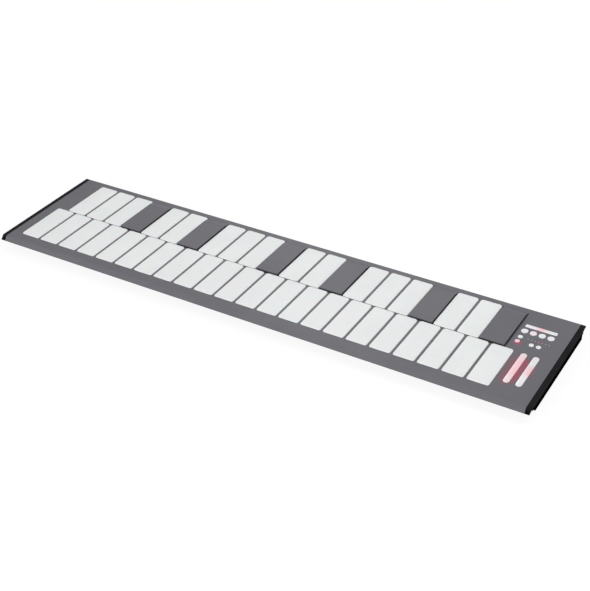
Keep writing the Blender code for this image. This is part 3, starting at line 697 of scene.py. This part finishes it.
def placeLamps():
    look = guideLook
    low, high = lampGuide
    barTop = deckTop - look["underDeck"]
    guide = addBlock("lamp_bar", low, (high.x, high.y, barTop))
    roundOff(guide, look["corner"], look["cornerSteps"], look["rim"], look["rimSteps"], barTop)
    pieces = [guide]
    root = barTop - look["lensRoot"]
    for x, y in lampSpots:
        lens = addRound("lens", (x, y, 0.0), lamps["radius"], root, high.z, look["lensSteps"])
        startEdit(lens)
        bevelEdges(lens, atHeight(high.z), look["lensRim"], look["lensRimSteps"])
        endEdit()
        pieces.append(lens)
    whole = joinAll("indicator_lamp_lenses", pieces)
    smoothByAngle(whole)
    finishPiece(whole, lampPlastic, "chassis", ["indicator_light_guide"])


placeLamps()
print("touch surfaces and lamps placed")


# Rubber foot strips with two grooves along the sole

footLook = {"corner": 4.0 * mm, "cornerSteps": 6, "groove": 1.6 * mm, "grooveDepth": 0.8 * mm,
            "grooveMargin": 3.0 * mm, "grooveEnd": 6.0 * mm,
            "edge": 0.3 * mm, "edgeSteps": 2, "edgeTurn": 1.0}


def placeFoot(name):
    look = footLook
    low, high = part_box(name)
    foot = addBlock(name + "_rubber", low, high)
    startEdit(foot)
    bevelEdges(foot, runsAlong(2), look["corner"], look["cornerSteps"])
    middle = (low.y + high.y) / 2
    lines = []
    for side in (-1, 1):
        inner = middle + side * (look["grooveMargin"] - look["groove"])
        lines += [inner, inner + side * look["groove"]]
    for line in lines:
        sliceAt(1, line)
    left, right = low.x + look["grooveEnd"], high.x - look["grooveEnd"]
    for end in (left, right):
        sliceAt(0, end)
    lines.sort()
    isSole = facesTo(z=-1)
    for first, second in ((lines[0], lines[1]), (lines[2], lines[3])):
        pick(foot, "FACE", lambda face: isSole(face) and face.calc_center_median().z < low.z + near["face"]
             and first < face.calc_center_median().y < second and left < face.calc_center_median().x < right)
        bpy.ops.mesh.extrude_region_move(TRANSFORM_OT_translate={"value": (0.0, 0.0, look["grooveDepth"])})
    onSole = atHeight(low.z)
    bevelEdges(foot, lambda edge: onSole(edge) and not edge.is_boundary
               and edge.calc_face_angle(0.0) > look["edgeTurn"], look["edge"], look["edgeSteps"])
    endEdit()
    smoothByAngle(foot)
    finishPiece(foot, footRubber, "chassis", [name])


placeFoot("front_foot_strip")
placeFoot("rear_foot_strip")


# Case screws under the tray, one at each of its studs

screwLook = {"radius": 3.0 * mm, "height": 1.5 * mm, "gap": 0.1 * mm, "steps": 32,
             "edge": 0.7 * mm, "edgeSteps": 4,
             "slot": 0.7 * mm, "slotRun": 1.7 * mm, "slotDepth": 0.8 * mm, "columns": 5}


def modelScrew():
    look = screwLook
    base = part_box("bottom_tray")[0].z - look["gap"]
    end = base - look["height"]
    head = addRound("screw_head", (0.0, 0.0, 0.0), look["radius"], end, base, look["steps"])
    startEdit(head)
    bevelEdges(head, atHeight(end), look["edge"], look["edgeSteps"])
    endEdit()
    low, high = end - look["height"], end + look["slotDepth"]
    cuts = [addBlock("screw_recess", (-run, -width, low), (run, width, high))
            for run, width in ((look["slotRun"], look["slot"]), (look["slot"], look["slotRun"]))]
    for cut in cuts:
        makeActive(head)
        boolean = head.modifiers.new("recess", "BOOLEAN")
        boolean.object = cut
        boolean.operation = "DIFFERENCE"
        bpy.ops.object.modifier_apply(modifier=boolean.name)
        bpy.data.objects.remove(cut)
    return head


def placeScrews():
    head = modelScrew()
    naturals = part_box("natural_bar_01")[0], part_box("natural_bar_22")[1]
    rows = [(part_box(name)[0].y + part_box(name)[1].y) / 2 for name in ("natural_bar_01", "sharp_bar_01")]
    left, right = naturals[0].x + barLook["flangeReach"], naturals[1].x - barLook["flangeReach"]
    heads = []
    for row in rows:
        for index in range(screwLook["columns"]):
            x = left + (right - left) * (index + 0.5) / screwLook["columns"]
            heads.append(copyTo(head, "screw_copy", (x, row, 0.0)))
    bpy.data.objects.remove(head)
    screws = joinAll("tray_screws", heads)
    smoothByAngle(screws)
    finishPiece(screws, screwSteel, "chassis")


placeScrews()
print("feet and screws placed")


# Rear sockets: the data port's plated shell and tongue, and a plated ring nut on each pedal jack's nose

socketLook = {"portWidth": 8.34 * mm, "portHeight": 7.34 * mm, "shell": 0.3 * mm, "shellSet": 0.2 * mm,
              "shellCorner": 0.8 * mm, "shellSteps": 3, "tongueWidth": 5.4 * mm, "tongueHeight": 3.0 * mm,
              "tongueDepth": 9.0 * mm, "tongueSet": 1.5 * mm, "tongueEdge": 0.35 * mm, "tongueSteps": 2,
              "bore": 3.3 * mm, "ring": 0.75 * mm, "ringDepth": 0.5 * mm, "ringStand": 0.12 * mm,
              "ringSteps": 40}


def openingMiddle(name):
    # the middle of an opening that the record states
    boxes = {opening["name"]: opening["box_m"] for opening in frame["record"]["physics"]["openings"]}
    low, high = boxes[name]
    return (Vector(low) + Vector(high)) / 2


def hollow(piece, wall):
    # insets both ends that face along Y and bridges them, which leaves an open shell
    pick(piece, "FACE", lambda face: abs(face.normal.y) > near["way"])
    bpy.ops.mesh.inset(thickness=wall, depth=0.0)
    bpy.ops.mesh.bridge_edge_loops()


def blockRound(name, middle, width, height, front, back):
    # a block round a middle in X and Z, from front to back along Y
    half = Vector((width / 2, 0.0, height / 2))
    low = (middle.x - half.x, front, middle.z - half.z)
    return addBlock(name, low, (middle.x + half.x, back, middle.z + half.z))


def modelPortShell(port, rearFace):
    look = socketLook
    shell = blockRound("port_shell", port, look["portWidth"], look["portHeight"],
                       rearFace - look["tongueDepth"] - look["tongueSet"], rearFace - look["shellSet"])
    startEdit(shell)
    bevelEdges(shell, runsAlong(1), look["shellCorner"], look["shellSteps"])
    hollow(shell, look["shell"])
    endEdit()
    return shell


def modelJackRing(jack, noseEnd):
    look = socketLook
    ring = addRound("jack_ring", (jack.x, noseEnd, jack.z), look["bore"] + look["ring"], -look["ringDepth"],
                    look["ringStand"], look["ringSteps"], (math.radians(-90.0), 0.0, 0.0))
    startEdit(ring)
    hollow(ring, look["ring"])
    endEdit()
    return ring


def placeSockets():
    look = socketLook
    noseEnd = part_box("rear_socket_block")[1].y
    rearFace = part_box("bottom_tray")[1].y
    port = openingMiddle("data_socket")
    parts = [modelPortShell(port, rearFace)]
    parts += [modelJackRing(openingMiddle(name), noseEnd) for name in ("pedal_socket_1", "pedal_socket_2")]
    plated = joinAll("socket_plated_parts", parts)
    smoothByAngle(plated)
    finishPiece(plated, socketNickel, "chassis")
    back = rearFace - look["tongueSet"]
    tongue = blockRound("data_port_tongue", port, look["tongueWidth"], look["tongueHeight"],
                        back - look["tongueDepth"], back)
    startEdit(tongue)
    bevelEdges(tongue, lambda edge: True, look["tongueEdge"], look["tongueSteps"])
    endEdit()
    smoothByAngle(tongue)
    finishPiece(tongue, socketAbs, "chassis")


placeSockets()
print("rear sockets dressed")


# CAD pieces that stay: softened edges and better finishes

softLook = {"weld": 0.001 * mm, "flat": math.radians(1.0), "corner": math.radians(50.0), "steps": 2}


def softenNode(name, width):
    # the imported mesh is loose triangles, so its corners are joined and its flat faces cleared first
    piece = nodes[name]
    weld = piece.modifiers.new("weld", "WELD")
    weld.merge_threshold = softLook["weld"]
    flat = piece.modifiers.new("flat", "DECIMATE")
    flat.decimate_type = "DISSOLVE"
    flat.angle_limit = softLook["flat"]
    edge = piece.modifiers.new("edge", "BEVEL")
    edge.width = width
    edge.segments = softLook["steps"]
    edge.limit_method = "ANGLE"
    edge.angle_limit = softLook["corner"]
    edge.use_clamp_overlap = True


def finishNode(name, material):
    nodes[name].data.materials.clear()
    nodes[name].data.materials.append(material)


# for each piece its finish, and the width of its softened edges
keptNodes = {
    "top_deck": (deckPaint, 0.35 * mm),
    "bar_frame": (frameAbs, 0.0),
    "left_end_cap": (capAbs, 0.5 * mm),
    "right_end_cap": (capAbs, 0.5 * mm),
    "bottom_tray": (trayPaint, 0.3 * mm),
    "rear_socket_block": (socketAbs, 0.3 * mm),
    "sensor_board": (sensorMask, 0.0),
    "control_board": (panelMask, 0.0),
    "main_board": (mainMask, 0.0),
}
for name, (material, width) in keptNodes.items():
    finishNode(name, material)
    if width:
        softenNode(name, width)
print("kept pieces finished:", len(keptNodes))


# Stage: pale floor, white surroundings and soft studio light

stageLook = {"floorHalf": 6.0, "floorTone": "#FAFAFA",
             "shadowShare": 0.12, "shadowStart": 0.5, "shadowReach": 1.4,
             "whiteStrength": 1.02, "worldStrength": 0.40}


def cameraWhite(tree):
    # white where the camera looks, and in what metal and glass show of the surroundings
    paths = addNode(tree, "ShaderNodeLightPath")
    rays = ("Is Camera Ray", "Is Glossy Ray", "Is Transmission Ray")
    return addUpToOne(tree, [paths.outputs[ray] for ray in rays])


def makeFloor():
    look = stageLook
    deselectAll()
    bpy.ops.mesh.primitive_plane_add(size=2 * look["floorHalf"], location=(0.0, 0.0, 0.0))
    floor = bpy.context.active_object
    floor.name = "studio_floor"
    settle()
    material = bpy.data.materials.new("white_paper_floor")
    material.use_nodes = True
    tree = material.node_tree
    tree.nodes.clear()
    paper = addNode(tree, "ShaderNodeBsdfDiffuse", {"Color": toLinear(look["floorTone"])})
    white = addNode(tree, "ShaderNodeEmission", {"Strength": look["whiteStrength"]})
    # the paper's own shading, with the object's shadow, shows near the object and fades out to white
    place = addNode(tree, "ShaderNodeTexCoord").outputs["Object"]
    away = addNode(tree, "ShaderNodeVectorMath", {"operation": "LENGTH"}, {0: place})
    share = mapRange(tree, away.outputs["Value"], look["shadowStart"], look["shadowReach"],
                     1.0 - look["shadowShare"], 1.0, "SMOOTHERSTEP")
    seen = compute(tree, "MULTIPLY", cameraWhite(tree), share)
    both = addNode(tree, "ShaderNodeMixShader", links={0: seen, 1: paper.outputs[0], 2: white.outputs[0]})
    addNode(tree, "ShaderNodeOutputMaterial", links={"Surface": both.outputs[0]})
    floor.data.materials.append(material)


def makeWorld():
    world = bpy.data.worlds.new("studio_surround")
    bpy.context.scene.world = world
    world.use_nodes = True
    tree = world.node_tree
    tree.nodes.clear()
    strength = mapRange(tree, cameraWhite(tree), 0.0, 1.0, stageLook["worldStrength"], 1.0)
    white = addNode(tree, "ShaderNodeBackground", {"Color": (1.0, 1.0, 1.0, 1.0)}, {"Strength": strength})
    addNode(tree, "ShaderNodeOutputWorld", links={"Surface": white.outputs[0]})


def addSoftbox(name, place, size, power):
    # a square lamp that looks at the middle of the floor
    lamp = bpy.data.lights.new(name, "AREA")
    lamp.shape = "SQUARE"
    lamp.size = size
    lamp.energy = power
    item = bpy.data.objects.new(name, lamp)
    item.location = place
    item.rotation_euler = (-Vector(place)).to_track_quat("-Z", "Y").to_euler()
    bpy.context.scene.collection.objects.link(item)


makeFloor()
makeWorld()
softboxes = {
    "overhead_softbox": {"place": (1.1, 0.5, 2.1), "size": 1.6, "power": 24.0},
    "front_left_softbox": {"place": (-0.5, -2.6, 0.9), "size": 2.0, "power": 57.0},
    "rear_softbox": {"place": (-0.8, 1.75, 1.4), "size": 0.7, "power": 11.0},
}
for name, box in softboxes.items():
    addSoftbox(name, **box)


# Camera, solved on the lines of the bars

cameraLook = {"place": (0.93717, -1.54200, 1.19264), "azimuth": 30.25, "elevation": 33.72, "roll": -0.36,
              "lens": 74.506, "sensor": 36.0, "clip": (0.05, 50.0)}


def makeCamera():
    azimuth, elevation, roll = (math.radians(cameraLook[turn]) for turn in ("azimuth", "elevation", "roll"))
    forward = Vector((-math.sin(azimuth) * math.cos(elevation), math.cos(azimuth) * math.cos(elevation),
                      -math.sin(elevation)))
    level = Vector((math.cos(azimuth), math.sin(azimuth), 0.0))
    up = level.cross(forward)
    right = math.cos(roll) * level + math.sin(roll) * up
    top = math.cos(roll) * up - math.sin(roll) * level
    lens = bpy.data.cameras.new("photo_camera")
    lens.lens = cameraLook["lens"]
    lens.sensor_width = cameraLook["sensor"]
    lens.sensor_fit = "HORIZONTAL"
    lens.clip_start, lens.clip_end = cameraLook["clip"]
    camera = bpy.data.objects.new("photo_camera", lens)
    turn = Matrix((right, top, -forward)).transposed().to_4x4()
    camera.matrix_world = Matrix.Translation(cameraLook["place"]) @ turn
    bpy.context.scene.collection.objects.link(camera)
    bpy.context.scene.camera = camera


makeCamera()
bpy.context.scene.view_settings.view_transform = "Standard"
print("stage, lights and camera set")
